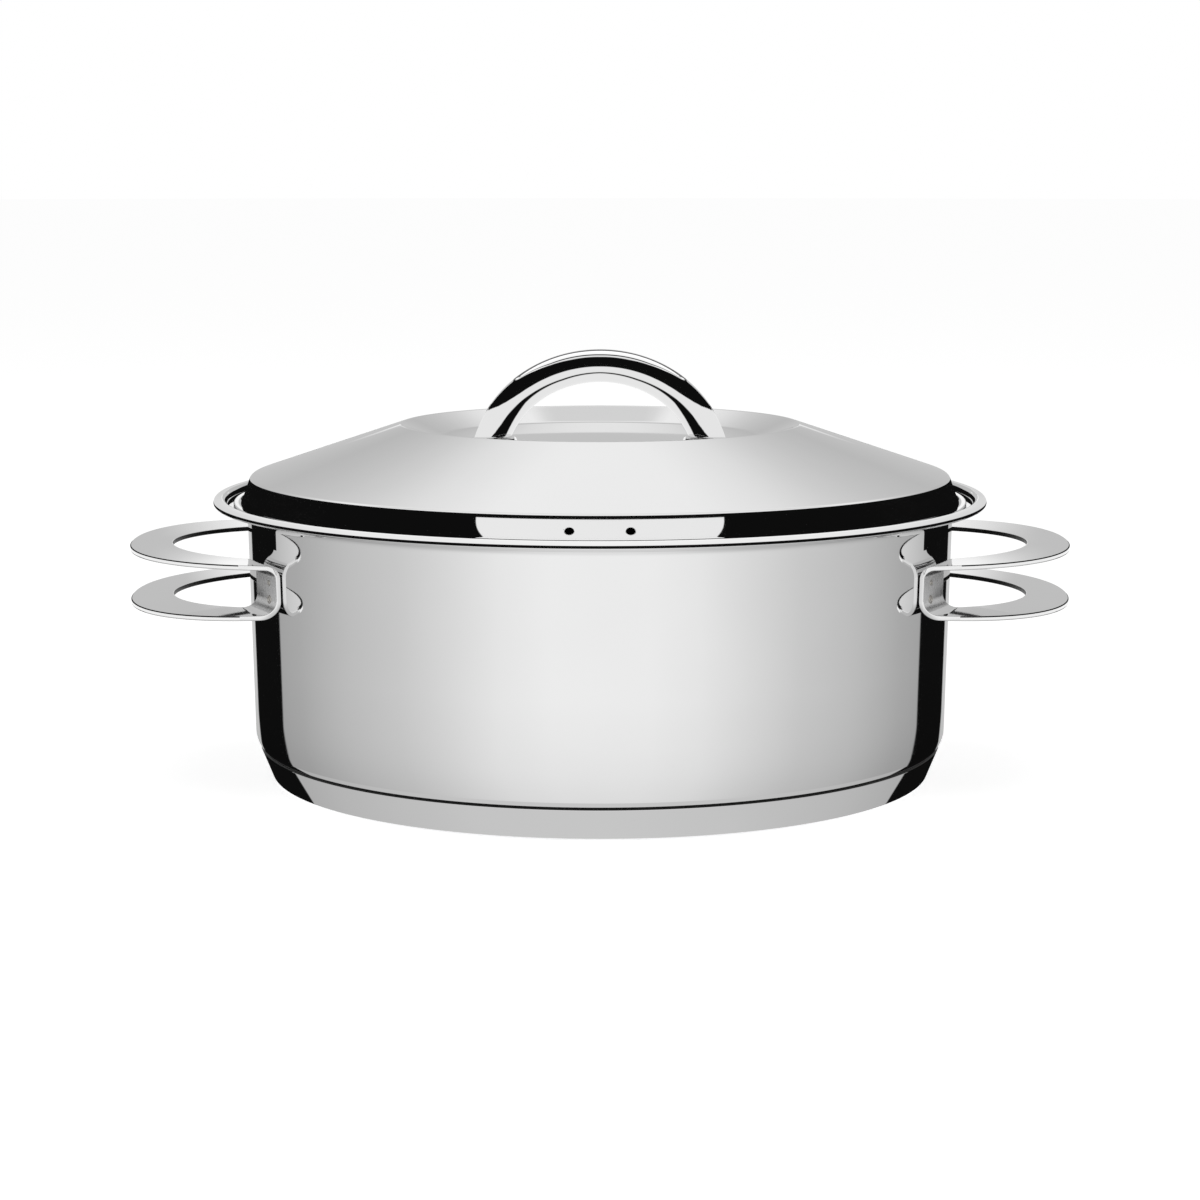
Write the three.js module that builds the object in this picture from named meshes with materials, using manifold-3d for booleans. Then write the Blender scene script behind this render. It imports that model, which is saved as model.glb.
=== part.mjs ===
// Low casserole with a lid, pressed from polished stainless steel, for a 24 cm mouth.
// Millimetres, +Z up, with the origin at the centre of the base's underside.
// The handles stand out along X, and the lid's steam vents face -Y.
import * as THREE from 'three';
import { mergeVertices } from 'three/addons/utils/BufferGeometryUtils.js';
import Module from 'manifold-3d';

const wasm = await Module();
wasm.setup();

// Fits
const seatGap = 0.3; // between pieces that are welded, pressed or laid together
const cutMargin = 5; // how far a cutter runs past what it cuts

// Pot shell
const mouthRadius = 120; // inside of the wall at the ledge
const potSheet = 0.8;
const wallLean = 1.26; // degrees, the wall opens upwards
const floorCornerRadius = 8; // outside
const flareRadius = 3.4; // middle of the sheet, from the wall into the ledge
const ledgeHeight = 93.9; // the lid's seat above the table
const ledgeWidth = 8; // from the mouth to the rim bead
const beadRise = 2.6; // top of the bead above the ledge
const beadWidth = 4.2;
const beadHeight = 2.7; // down to the tucked edge
const beadRound = 1; // middle of the sheet, at the bead's corners
const beadCurl = 1.5; // length of the edge tucked under the bead

// Sandwich base
const spreaderThickness = 7.2;
const capSheet = 0.7;
const capWrap = 2.6; // the seam line above the underside of the pot's floor
const capLean = 21.8; // degrees, the cap's side opens upwards
const capEdgeBevel = 0.7;
const capFootRound = 1.6;

// Side handles: a flat strap bent into an upper and a lower bow, with two welded tabs between
const strapSheet = 1.6;
const handleMidHeight = 70.4;
const handleHeight = 17.8; // over both bows, where they leave the wall
const handleReach = 40.7; // from the wall to the tip
const handleWidth = 123.4; // along Y, over the tabs
const bowDepth = 48; // length of the round part of the outer edge
const bowHoleDepth = 43; // length of the round part of the hole's edge
const bowStrapWidth = 14; // at the tip
const tabWidth = 16.3;
const bowSplay = 1.5; // degrees, the bows part towards the tip
const upperBendRadius = 4.4; // outside
const lowerBendRadius = 6.4; // outside
const bowSquareness = 2.2; // exponent of the outer edge's curve, 2 is an ellipse
const bowHoleSquareness = 2; // the same for the hole's edge

// Spot welds on the tabs
const weldRadius = 1.6;
const weldInset = 5.4; // from the strap's outer edge
const weldSpacing = 5.5; // between the upper and the lower weld
const weldDish = 0.25; // depth of the hollow in a weld's face

// Lid
const lidSheet = 0.7;
const lidPlay = 2.6; // sideways, from the flange to the bead
const flangeWidth = 3;
const flangeRound = 2;
const skirtHeight = 8.4;
const skirtLean = 20; // degrees from upright
const creaseRound = 1.3;
const coneSlope = 18.7; // degrees
const dishRadius = 68; // at the lip
const dishWallWidth = 11.5; // from the lip in to the floor's edge
const dishDepth = 5.1;
const dishRound = 4;
const lipRound = 1.6;
const ventRadius = 1.4;
const ventSpacing = 19;
const ventRise = 0.45; // place on the skirt, 0 at its foot and 1 at the crease

// Lid handle: an arched bar between two half ellipses that share a centre below the dish's floor
const footInset = 13.5; // from the edge of the dish's floor to a foot
const archRise = 29.6; // top of the bar above the dish's floor
const archCentreDepth = 10.5;
const gripThickness = 10.4; // at the crown
const footThickness = 12;
const gripDepth = 19; // along Y
const gripRound = 4.6;
const footWeldRadius = 3;
const footWeldDepth = 2.4; // into the foot

// Facets
const turnSegments = 48;
const arcTolerance = 0.15; // how far a chord may leave its arc
const roundShare = 0.45; // of a wall, the most that one rounded edge takes
const bowSteps = 28;
const archSteps = 11;
const gripRoundSteps = 4;
const weldSegments = 12;

const radians = THREE.MathUtils.degToRad;

const polishedSteel = { color: 0xd6d7d8, roughness: 0.08, metalness: 1 };
const satinSteel = { color: 0xc4c5c6, roughness: 0.35, metalness: 1 };
const castAluminium = { color: 0xb4b6b8, roughness: 0.5, metalness: 1 };

// A line through corners [radius, height, round], with each round drawn as an arc
function roundedLine(corners) {
  const line = [];
  corners.forEach(([x, y, round = 0], i) => {
    const corner = new THREE.Vector2(x, y);
    if (!round) {
      line.push(corner);
      return;
    }
    const before = new THREE.Vector2(...corners[i - 1]).sub(corner);
    const after = new THREE.Vector2(...corners[i + 1]).sub(corner);
    const halfAngle = Math.acos(before.dot(after) / before.length() / after.length()) / 2;
    const room = Math.min(before.length(), after.length()) * roundShare;
    const setback = Math.min(round / Math.tan(halfAngle), room);
    const start = before.setLength(setback);
    const end = after.setLength(setback);
    const centre = start.clone().add(end).multiplyScalar(0.5 / Math.cos(halfAngle) ** 2);
    const from = start.clone().sub(centre);
    const sweep = Math.PI - 2 * halfAngle;
    const turn = Math.sign(from.cross(end.clone().sub(centre)));
    const chord = 2 * Math.acos(Math.max(1 - arcTolerance / from.length(), 0));
    const steps = Math.max(Math.ceil(sweep / chord), 2);
    for (let k = 0; k <= steps; k += 1) {
      const spoke = from.clone().rotateAround(new THREE.Vector2(), (turn * sweep * k) / steps);
      line.push(spoke.add(centre).add(corner));
    }
  });
  return line;
}

// The line moved sideways, to the right of its direction, with mitred corners
function besideLine(line, distance) {
  return line.map((point, i) => {
    const before = line[Math.max(i - 1, 0)];
    const after = line[Math.min(i + 1, line.length - 1)];
    const ahead = after.clone().sub(i < line.length - 1 ? point : before).normalize();
    const behind = point.clone().sub(i > 0 ? before : point).normalize();
    const along = i > 0 ? ahead.clone().add(behind).normalize() : ahead;
    const stretch = 1 / along.dot(ahead);
    return new THREE.Vector2(along.y, -along.x).multiplyScalar(distance * stretch).add(point);
  });
}

// The section of a sheet whose middle follows the line
function sheetSection(line, thickness) {
  const right = besideLine(line, thickness / 2);
  const left = besideLine(line, -thickness / 2);
  return [...right, ...left.reverse()];
}

// A section of [radius, height] points turned about Z
function turned(section, segments) {
  return new THREE.LatheGeometry(section, segments).rotateX(Math.PI / 2);
}

function toSolid(geometry) {
  const bare = geometry.clone();
  bare.deleteAttribute('normal');
  bare.deleteAttribute('uv');
  const merged = mergeVertices(bare, 1e-4);
  const corners = merged.index.array;
  const triangles = [];
  for (let i = 0; i < corners.length; i += 3) {
    const [a, b, c] = corners.slice(i, i + 3);
    if (a !== b && b !== c && c !== a) {
      triangles.push(a, b, c);
    }
  }
  return new wasm.Manifold(new wasm.Mesh({
    numProp: 3,
    vertProperties: new Float32Array(merged.attributes.position.array),
    triVerts: new Uint32Array(triangles),
  }));
}

function toGeometry(solid) {
  const mesh = solid.getMesh();
  const geometry = new THREE.BufferGeometry();
  geometry.setAttribute('position', new THREE.BufferAttribute(mesh.vertProperties, 3));
  geometry.setIndex(new THREE.BufferAttribute(mesh.triVerts, 1));
  geometry.computeVertexNormals();
  return geometry;
}

function piece(name, geometry, look) {
  const mesh = new THREE.Mesh(geometry, new THREE.MeshStandardMaterial(look));
  mesh.name = name;
  return mesh;
}

// Heights and radii that the pieces share
const floorUnderside = capSheet + seatGap + spreaderThickness + seatGap;
const capHeight = floorUnderside + capWrap;
const wallTan = Math.tan(radians(wallLean));
const cornerCentre = floorUnderside + floorCornerRadius;

// Outside radius of the wall, and of the round corner below it
function wallOutside(height) {
  return mouthRadius + potSheet - (ledgeHeight - height) * wallTan;
}
function shellOutside(height) {
  const drop = THREE.MathUtils.clamp(cornerCentre - height, 0, floorCornerRadius);
  const cornerRadius = wallOutside(cornerCentre) - floorCornerRadius;
  return drop > 0 ? cornerRadius + Math.sqrt(floorCornerRadius ** 2 - drop ** 2) : wallOutside(height);
}

const beadInside = mouthRadius + ledgeWidth;
const capTan = Math.tan(radians(capLean));
const capEdge = {
  inside: shellOutside(capHeight - capEdgeBevel) + seatGap,
  insideHeight: capHeight - capEdgeBevel,
};

function capInside(height) {
  return capEdge.inside - (capEdge.insideHeight - height) * capTan;
}

function potShell() {
  const half = potSheet / 2;
  const floor = floorUnderside + half;
  const ledge = ledgeHeight - half;
  const beadTop = ledgeHeight + beadRise - half;
  const beadNear = beadInside + half;
  const beadFar = beadInside + beadWidth - half;
  const curl = ledgeHeight + beadRise - beadHeight + half;
  const line = roundedLine([
    [0, floor],
    [wallOutside(floor) - half, floor, floorCornerRadius - half],
    [wallOutside(ledge) - half, ledge, flareRadius],
    [beadNear, ledge, beadRound],
    [beadNear, beadTop, beadRound],
    [beadFar, beadTop, beadRound],
    [beadFar, curl, beadRound],
    [beadFar - beadCurl, curl],
  ]);
  return turned(sheetSection(line, potSheet), turnSegments);
}

function heatSpreader() {
  const bottom = capSheet + seatGap;
  const top = floorUnderside - seatGap;
  const sideGap = seatGap / Math.cos(radians(capLean));
  return turned([
    new THREE.Vector2(0, bottom),
    new THREE.Vector2(capInside(bottom) - sideGap, bottom),
    new THREE.Vector2(capInside(top) - sideGap, top),
    new THREE.Vector2(0, top),
  ], turnSegments);
}

function baseCap() {
  const sideSheet = capSheet / Math.cos(radians(capLean));
  const outside = roundedLine([
    [0, 0],
    [capInside(0) + sideSheet, 0, capFootRound],
    [capInside(capHeight) + sideSheet, capHeight],
  ]);
  const inside = roundedLine([
    [capEdge.inside, capEdge.insideHeight],
    [capInside(capSheet), capSheet, Math.max(capFootRound - capSheet, 0)],
    [0, capSheet],
  ]);
  return turned([...outside, ...inside], turnSegments);
}

// A bow's edge in plan: from the wall, round a tip on +X and back, with a superellipse at the tip
function bowOutline(tip, depth, halfWidth, squareness, wallEnd) {
  const centre = tip - depth;
  const power = 2 / squareness;
  const outline = [new THREE.Vector2(wallEnd, -halfWidth)];
  for (let k = 0; k <= bowSteps; k += 1) {
    const angle = -Math.PI / 2 + (Math.PI * k) / bowSteps;
    const x = centre + depth * Math.max(Math.cos(angle), 0) ** power;
    const y = halfWidth * Math.sign(Math.sin(angle)) * Math.abs(Math.sin(angle)) ** power;
    outline.push(new THREE.Vector2(x, y));
  }
  outline.push(new THREE.Vector2(wallEnd, halfWidth));
  return outline;
}

const handleTip = wallOutside(handleMidHeight) + handleReach;

// Middle of the tab's sheet, from the pot's axis
function tabRadius(height) {
  return wallOutside(height) + seatGap + strapSheet / 2;
}

const weldAngle = Math.asin((handleWidth / 2 - weldInset) / tabRadius(handleMidHeight));

// A sideways C turned about Z gives the bent sheet, and the plan outline trims it to a strap
function sideHandle() {
  const half = strapSheet / 2;
  const rise = handleHeight / 2 - half;
  const top = handleMidHeight + rise;
  const bottom = handleMidHeight - rise;
  const past = handleTip + cutMargin;
  const splayRise = (past - tabRadius(handleMidHeight)) * Math.tan(radians(bowSplay));
  const line = roundedLine([
    [past, bottom - splayRise],
    [tabRadius(bottom), bottom, lowerBendRadius - half],
    [tabRadius(top), top, upperBendRadius - half],
    [past, top + splayRise],
  ]);
  const section = sheetSection(line, strapSheet);
  const bentSheet = turned([...section, section[0].clone()], 2 * turnSegments);

  const innerEnd = tabRadius(handleMidHeight) * Math.cos(weldAngle) / 2;
  const plan = new THREE.Shape(
    bowOutline(handleTip, bowDepth, handleWidth / 2, bowSquareness, innerEnd));
  const holePlan = new THREE.Shape(bowOutline(
    handleTip - bowStrapWidth, bowHoleDepth, handleWidth / 2 - tabWidth, bowHoleSquareness,
    innerEnd - cutMargin));
  const depth = 2 * (rise + splayRise + cutMargin);
  const toMiddle = [0, 0, handleMidHeight - depth / 2];
  const prism = new THREE.ExtrudeGeometry(plan, { depth, bevelEnabled: false }).translate(...toMiddle);
  const hole = new THREE.ExtrudeGeometry(holePlan, {
    depth: depth + 2 * cutMargin, bevelEnabled: false,
  }).translate(0, 0, toMiddle[2] - cutMargin);

  let strap = toSolid(bentSheet).intersect(toSolid(prism)).subtract(toSolid(hole));
  for (const side of [-1, 1]) {
    for (const level of [-1, 1]) {
      const drill = new THREE.CylinderGeometry(
        weldRadius + seatGap, weldRadius + seatGap, 2 * cutMargin, weldSegments);
      placeOnTab(drill, side, level, tabRadius(handleMidHeight));
      strap = strap.subtract(toSolid(drill));
    }
  }
  return toGeometry(strap);
}

// Turns a shape's Y axis out of the wall and moves it to a weld's place
function placeOnTab(geometry, side, level, radius) {
  return geometry
    .rotateZ(-Math.PI / 2)
    .translate(radius, 0, handleMidHeight + (level * weldSpacing) / 2)
    .rotateZ(side * weldAngle);
}

function tabWeld(side, level) {
  const height = handleMidHeight + (level * weldSpacing) / 2;
  const length = strapSheet;
  const section = [
    new THREE.Vector2(0, 0),
    new THREE.Vector2(weldRadius, 0),
    new THREE.Vector2(weldRadius, length),
    new THREE.Vector2(weldRadius / 2, length - weldDish),
    new THREE.Vector2(0, length - weldDish),
  ];
  const nugget = new THREE.LatheGeometry(section, weldSegments);
  return placeOnTab(nugget, side, level, wallOutside(height) + seatGap);
}

// Lid heights, from its seat on the ledge
const flangeMiddle = ledgeHeight + seatGap + lidSheet / 2;
const flangeEdge = beadInside - lidPlay;
const skirtFoot = flangeEdge - flangeWidth;
const creaseHeight = flangeMiddle + skirtHeight;
const creaseRadius = skirtFoot - skirtHeight * Math.tan(radians(skirtLean));
const lipHeight = creaseHeight + (creaseRadius - dishRadius) * Math.tan(radians(coneSlope));
const dishFloor = lipHeight - dishDepth;
const dishFloorRadius = dishRadius - dishWallWidth;
const dishFloorTop = dishFloor + lidSheet / 2;
const archCentre = dishFloorTop - archCentreDepth;

// Share of a half ellipse's span that is left at the dish's floor
function spanAtFloor(rise) {
  return Math.sqrt(1 - (archCentreDepth / rise) ** 2);
}
const outerRise = archCentreDepth + archRise;
const innerRise = outerRise - gripThickness;
const footOutside = dishFloorRadius - footInset;
const archHalfSpan = footOutside / spanAtFloor(outerRise);
const innerHalfSpan = archHalfSpan - footThickness;
const footMiddle = (footOutside + innerHalfSpan * spanAtFloor(innerRise)) / 2;
const barRound = Math.min(gripRound, Math.min(gripThickness, footThickness, gripDepth) * roundShare);

function lidShell() {
  const line = roundedLine([
    [0, dishFloor],
    [dishFloorRadius, dishFloor, dishRound],
    [dishRadius, lipHeight, lipRound],
    [creaseRadius, creaseHeight, creaseRound],
    [skirtFoot, flangeMiddle, flangeRound],
    [flangeEdge, flangeMiddle],
  ]);
  let shell = toSolid(turned(sheetSection(line, lidSheet), turnSegments));
  const ventHeight = flangeMiddle + skirtHeight * ventRise;
  const ventCentre = skirtFoot - skirtHeight * ventRise * Math.tan(radians(skirtLean));
  const ventAngle = Math.asin(ventSpacing / 2 / ventCentre);
  for (const side of [-1, 1]) {
    const vent = new THREE.CylinderGeometry(ventRadius, ventRadius, 2 * cutMargin, weldSegments)
      .rotateX(radians(skirtLean))
      .translate(0, -ventCentre, ventHeight)
      .rotateZ(side * ventAngle);
    const weldHole = new THREE.CylinderGeometry(
      footWeldRadius + seatGap, footWeldRadius + seatGap, 2 * cutMargin, weldSegments)
      .rotateX(Math.PI / 2)
      .translate(side * footMiddle, 0, dishFloor);
    shell = shell.subtract(toSolid(vent)).subtract(toSolid(weldHole));
  }
  return toGeometry(shell);
}

function lidHandle() {
  const bar = new THREE.Shape();
  bar.absellipse(0, 0, archHalfSpan, outerRise, 0, Math.PI, false);
  bar.absellipse(0, 0, innerHalfSpan, innerRise, Math.PI, 0, true);
  bar.closePath();
  const flatDepth = gripDepth - 2 * barRound;
  const arch = new THREE.ExtrudeGeometry(bar, {
    depth: flatDepth,
    curveSegments: archSteps,
    bevelThickness: barRound,
    bevelSize: barRound,
    bevelOffset: -barRound,
    bevelSegments: gripRoundSteps,
  }).translate(0, 0, -flatDepth / 2).rotateX(Math.PI / 2).translate(0, 0, archCentre);
  const footPlane = dishFloorTop + seatGap;
  const below = outerRise;
  const belowFeet = new THREE.BoxGeometry(
    2 * (archHalfSpan + cutMargin), gripDepth + 2 * cutMargin, below)
    .translate(0, 0, footPlane - below / 2);
  let handle = toSolid(arch).subtract(toSolid(belowFeet));
  for (const side of [-1, 1]) {
    const socket = new THREE.CylinderGeometry(
      footWeldRadius + seatGap, footWeldRadius + seatGap, 2 * (footWeldDepth + seatGap), weldSegments)
      .rotateX(Math.PI / 2)
      .translate(side * footMiddle, 0, footPlane);
    handle = handle.subtract(toSolid(socket));
  }
  return toGeometry(handle);
}

// The weld under a foot, flush with the lid's underside
function footWeld(side) {
  const bottom = dishFloor - lidSheet / 2;
  const length = lidSheet + seatGap + footWeldDepth;
  return new THREE.CylinderGeometry(footWeldRadius, footWeldRadius, length, weldSegments)
    .rotateX(Math.PI / 2)
    .translate(side * footMiddle, 0, bottom + length / 2);
}

const casserole = new THREE.Group();

const pot = new THREE.Group();
pot.add(piece('pot_shell', potShell(), polishedSteel));
pot.add(piece('heat_spreader', heatSpreader(), castAluminium));
pot.add(piece('base_cap', baseCap(), polishedSteel));
casserole.add(pot);

// The right handle stands out along +X, and the left one is the same piece turned half way round
for (const [hand, turn] of [['right', 0], ['left', Math.PI]]) {
  const handle = new THREE.Group();
  handle.rotation.z = turn;
  handle.add(piece(`${hand}_handle`, sideHandle(), polishedSteel));
  for (const side of [-1, 1]) {
    for (const level of [-1, 1]) {
      const end = (side < 0) === (turn === 0) ? 'front' : 'rear';
      const row = level < 0 ? 'lower' : 'upper';
      handle.add(piece(`${hand}_handle_${end}_${row}_weld`, tabWeld(side, level), satinSteel));
    }
  }
  casserole.add(handle);
}

const lid = new THREE.Group();
lid.add(piece('lid_shell', lidShell(), polishedSteel));
lid.add(piece('lid_handle', lidHandle(), polishedSteel));
lid.add(piece('lid_handle_left_weld', footWeld(-1), satinSteel));
lid.add(piece('lid_handle_right_weld', footWeld(1), satinSteel));
casserole.add(lid);

export default casserole;
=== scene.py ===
import math

import bmesh
import bpy
import numpy as np
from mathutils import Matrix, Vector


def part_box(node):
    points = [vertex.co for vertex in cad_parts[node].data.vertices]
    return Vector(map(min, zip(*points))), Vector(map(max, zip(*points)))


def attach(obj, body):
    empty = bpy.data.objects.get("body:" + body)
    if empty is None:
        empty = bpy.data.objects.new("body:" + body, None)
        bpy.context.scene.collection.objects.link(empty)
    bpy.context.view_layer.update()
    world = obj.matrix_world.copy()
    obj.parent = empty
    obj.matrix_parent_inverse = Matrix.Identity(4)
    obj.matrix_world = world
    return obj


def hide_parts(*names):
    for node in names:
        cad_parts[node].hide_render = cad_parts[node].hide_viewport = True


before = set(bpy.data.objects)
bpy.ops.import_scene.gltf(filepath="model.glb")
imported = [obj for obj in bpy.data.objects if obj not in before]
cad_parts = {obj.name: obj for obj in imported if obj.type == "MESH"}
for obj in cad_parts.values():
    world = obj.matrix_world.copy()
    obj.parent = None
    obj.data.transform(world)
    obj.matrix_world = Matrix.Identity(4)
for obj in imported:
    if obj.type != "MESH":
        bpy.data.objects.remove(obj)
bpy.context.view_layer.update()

mm = 0.001  # shapes are worked out in millimetres, and meshes are in metres


def corners(node):
    # lowest and highest corner of a node of the frame, in millimetres
    return [np.array(corner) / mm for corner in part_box(node)]


def linear(hexColour):
    # sRGB to linear light: a straight toe, then a power of 2.4
    part = np.array([int(hexColour[i:i + 2], 16) for i in (1, 3, 5)]) / 255
    part = np.where(part <= 0.04045, part / 12.92, ((part + 0.055) / 1.055) ** 2.4)
    return (*part.tolist(), 1.0)


# Sheet metal shapes

def bentLine(bends, arcStep=5.0, endStep=0.25):
    # a line through bends (radius, height, round): each round is an arc that touches both straights, and
    # the points of a straight crowd towards its ends by half a cosine wave; gives points and directions
    corner = np.array([bend[:2] for bend in bends], float)
    leg = np.diff(corner, axis=0)
    along = leg / np.linalg.norm(leg, axis=1)[:, None]
    heading = np.arctan2(along[:, 1], along[:, 0])
    points, ways = [], []
    start = corner[0]
    for i in range(len(leg)):
        last = i == len(leg) - 1
        bendRadius = 0 if last else bends[i + 1][2]
        turn = 0 if last else (heading[i + 1] - heading[i] + math.pi) % (2 * math.pi) - math.pi
        setback = bendRadius * math.tan(abs(turn) / 2)
        end = corner[i + 1] - along[i] * setback
        count = max(math.ceil(math.pi / 2 * math.sqrt(np.linalg.norm(end - start) / endStep)), 2)
        share = (1 - np.cos(math.pi * np.arange(count + last) / count)) / 2
        points.append(start + (end - start) * share[:, None])
        ways.append(np.full(len(share), heading[i]))
        if not last:
            steps = max(math.ceil(abs(math.degrees(turn)) / arcStep), 2)
            way = heading[i] + turn * np.arange(steps) / steps
            side = np.sign(turn) * bendRadius
            centre = end + side * np.array([-along[i][1], along[i][0]])
            points.append(centre + side * np.stack([np.sin(way), -np.cos(way)], 1))
            ways.append(way)
            start = corner[i + 1] + along[i + 1] * setback
    return np.concatenate(points), np.concatenate(ways)


def sheetSection(bends, sheet, lipSteps=8):
    # both faces of a sheet that starts on the axis, half its thickness to each side of the bent line,
    # joined by a half round at its far edge; also says how many points lie on the right-hand face
    line, way = bentLine(bends)
    right = np.stack([np.sin(way), -np.cos(way)], 1)
    ahead = np.stack([np.cos(way), np.sin(way)], 1)
    swing = np.linspace(0, math.pi, lipSteps + 1)[1:-1, None]
    lip = line[-1] + sheet / 2 * (np.cos(swing) * right[-1] + np.sin(swing) * ahead[-1])
    section = np.concatenate([line + right * sheet / 2, lip, (line - right * sheet / 2)[::-1]])
    return section, len(line) + len(lip) // 2


def turned(section, segments):
    # every point (radius, height) of a section carried round Z, as a grid of section by angle
    angle = 2 * math.pi * np.arange(segments) / segments
    radius, height = section[:, :1], section[:, 1:]
    return np.stack([radius * np.cos(angle), radius * np.sin(angle), height + 0 * angle], -1)


def gridPiece(name, grid, finishes, wrapRows=False, wrapColumns=True, pick=0):
    # a mesh of four-sided faces between neighbouring points of a grid; points that fall together, as on
    # the axis, are merged, and pick gives the number of each face's finish, by row and column
    rows, columns = grid.shape[:2]
    here = np.arange(rows * columns).reshape(rows, columns)
    below, beside = np.roll(here, -1, 0), np.roll(here, -1, 1)
    faces = np.stack([here, beside, np.roll(below, -1, 1), below], -1)
    faces = faces[:rows if wrapRows else -1, :columns if wrapColumns else -1]
    mesh = bpy.data.meshes.new(name)
    mesh.from_pydata(grid.reshape(-1, 3) * mm, [], faces.reshape(-1, 4))
    for finish in finishes:
        mesh.materials.append(finish)
    pick = np.broadcast_to(pick, (rows, columns))[:faces.shape[0], :faces.shape[1]]
    mesh.polygons.foreach_set("material_index", pick.ravel().astype(np.int32))
    merged = bmesh.new()
    merged.from_mesh(mesh)
    bmesh.ops.remove_doubles(merged, verts=merged.verts, dist=0.002 * mm)
    merged.to_mesh(mesh)
    merged.free()
    mesh.polygons.foreach_set("use_smooth", np.ones(len(mesh.polygons), bool))
    piece = bpy.data.objects.new(name, mesh)
    bpy.context.scene.collection.objects.link(piece)
    return piece


def place(piece, body, slot, *nodes):
    # the piece stands for these nodes of the frame and moves with their body
    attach(piece, body)
    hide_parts(*nodes)
    print("%s: %d faces" % (piece.name, len(piece.data.polygons)))


# Finishes

def newFinish(name):
    finish = bpy.data.materials.new(name)
    finish.use_nodes = True
    return finish, finish.node_tree.nodes["Principled BSDF"]


def addNode(finish, kind, settings, links):
    # one node with its settings and, for each input, a number or the output that feeds it
    node = finish.node_tree.nodes.new(kind)
    for name, value in settings.items():
        setattr(node, name, value)
    for name, value in links.items():
        if isinstance(value, bpy.types.NodeSocket):
            finish.node_tree.links.new(value, node.inputs[name])
        else:
            node.inputs[name].default_value = value
    return node


def patternedMetal(finish, metal, s, toneBy, roughBy):
    # bare metal whose colour and roughness each drift between two values with a pattern
    tone = addNode(finish, "ShaderNodeMix", {"data_type": "RGBA"}, {
        "Factor": toneBy, "A": linear(s["bright"]), "B": linear(s["dull"])})
    rough = addNode(finish, "ShaderNodeMapRange", {}, {
        "Value": roughBy, "From Min": s["patternFrom"], "From Max": s["patternTo"],
        "To Min": s["roughFrom"], "To Max": s["roughTo"]})
    metal.inputs["Metallic"].default_value = 1.0
    finish.node_tree.links.new(tone.outputs["Result"], metal.inputs["Base Color"])
    finish.node_tree.links.new(rough.outputs["Result"], metal.inputs["Roughness"])
    return finish


mirrorSteelSet = dict(
    bright="#EAEAEA", dull="#E4E4E4",  # chromium steel, a neutral grey
    roughFrom=0.025, roughTo=0.055, patternFrom=0.1, patternTo=0.45,
    cloudSize=45.0,  # mm, where the buffing wheel dwelt longer
    streakWidth=1.6, streakStretch=(0.06, 0.06, 1.0),  # mm, real streaks are finer and wouldn't show
)


def mirrorPolishedSteel():
    # 18/10 stainless sheet, pressed and then buffed on cloth wheels: it mirrors the room with crisp edges,
    # and only the reflections' softness drifts a little where the wheel dwelt
    s = mirrorSteelSet
    finish, steel = newFinish("mirrorPolishedStainless")
    where = addNode(finish, "ShaderNodeTexCoord", {}, {}).outputs["Object"]
    cloud = addNode(finish, "ShaderNodeTexNoise", {}, {
        "Vector": where, "Scale": 1 / (s["cloudSize"] * mm), "Detail": 2.0}).outputs["Fac"]
    long = addNode(finish, "ShaderNodeMapping", {}, {"Vector": where, "Scale": s["streakStretch"]})
    streak = addNode(finish, "ShaderNodeTexNoise", {}, {
        "Vector": long.outputs["Vector"], "Scale": 1 / (s["streakWidth"] * mm), "Detail": 1.0})
    wear = addNode(finish, "ShaderNodeMath", {"operation": "MULTIPLY"}, {0: cloud, 1: streak.outputs["Fac"]})
    return patternedMetal(finish, steel, s, cloud, wear.outputs["Value"])


spunSteelSet = dict(
    bright="#D3D4D5", dull="#C4C5C7",
    roughFrom=0.20, roughTo=0.34, patternFrom=0.3, patternTo=0.7,
    ringWidth=0.9,  # mm between turning rings; real ones are about 0.2 mm and wouldn't show
    ringDepth=0.006, ringStrength=0.35,  # mm, and the share of it that shows
)


def spunSatinSteel():
    # the same sheet where it isn't buffed: turned against abrasive on a lathe, so fine rings run round the
    # axis and stretch every highlight into a soft fan
    s = spunSteelSet
    finish, steel = newFinish("spunSatinStainless")
    where = addNode(finish, "ShaderNodeTexCoord", {}, {}).outputs["Object"]
    split = addNode(finish, "ShaderNodeSeparateXYZ", {}, {"Vector": where})
    flat = addNode(finish, "ShaderNodeCombineXYZ", {}, {"X": split.outputs["X"], "Y": split.outputs["Y"]})
    radius = addNode(finish, "ShaderNodeVectorMath", {"operation": "LENGTH"}, {0: flat.outputs["Vector"]})
    travel = addNode(finish, "ShaderNodeCombineXYZ", {}, {
        "X": radius.outputs["Value"], "Y": split.outputs["Z"]})
    rings = addNode(finish, "ShaderNodeTexNoise", {"noise_dimensions": "2D"}, {
        "Vector": travel.outputs["Vector"], "Scale": 1 / (s["ringWidth"] * mm), "Detail": 3.0}).outputs["Fac"]
    groove = addNode(finish, "ShaderNodeBump", {}, {
        "Height": rings, "Strength": s["ringStrength"], "Distance": s["ringDepth"] * mm})
    finish.node_tree.links.new(groove.outputs["Normal"], steel.inputs["Normal"])
    return patternedMetal(finish, steel, s, rings, rings)


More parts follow.
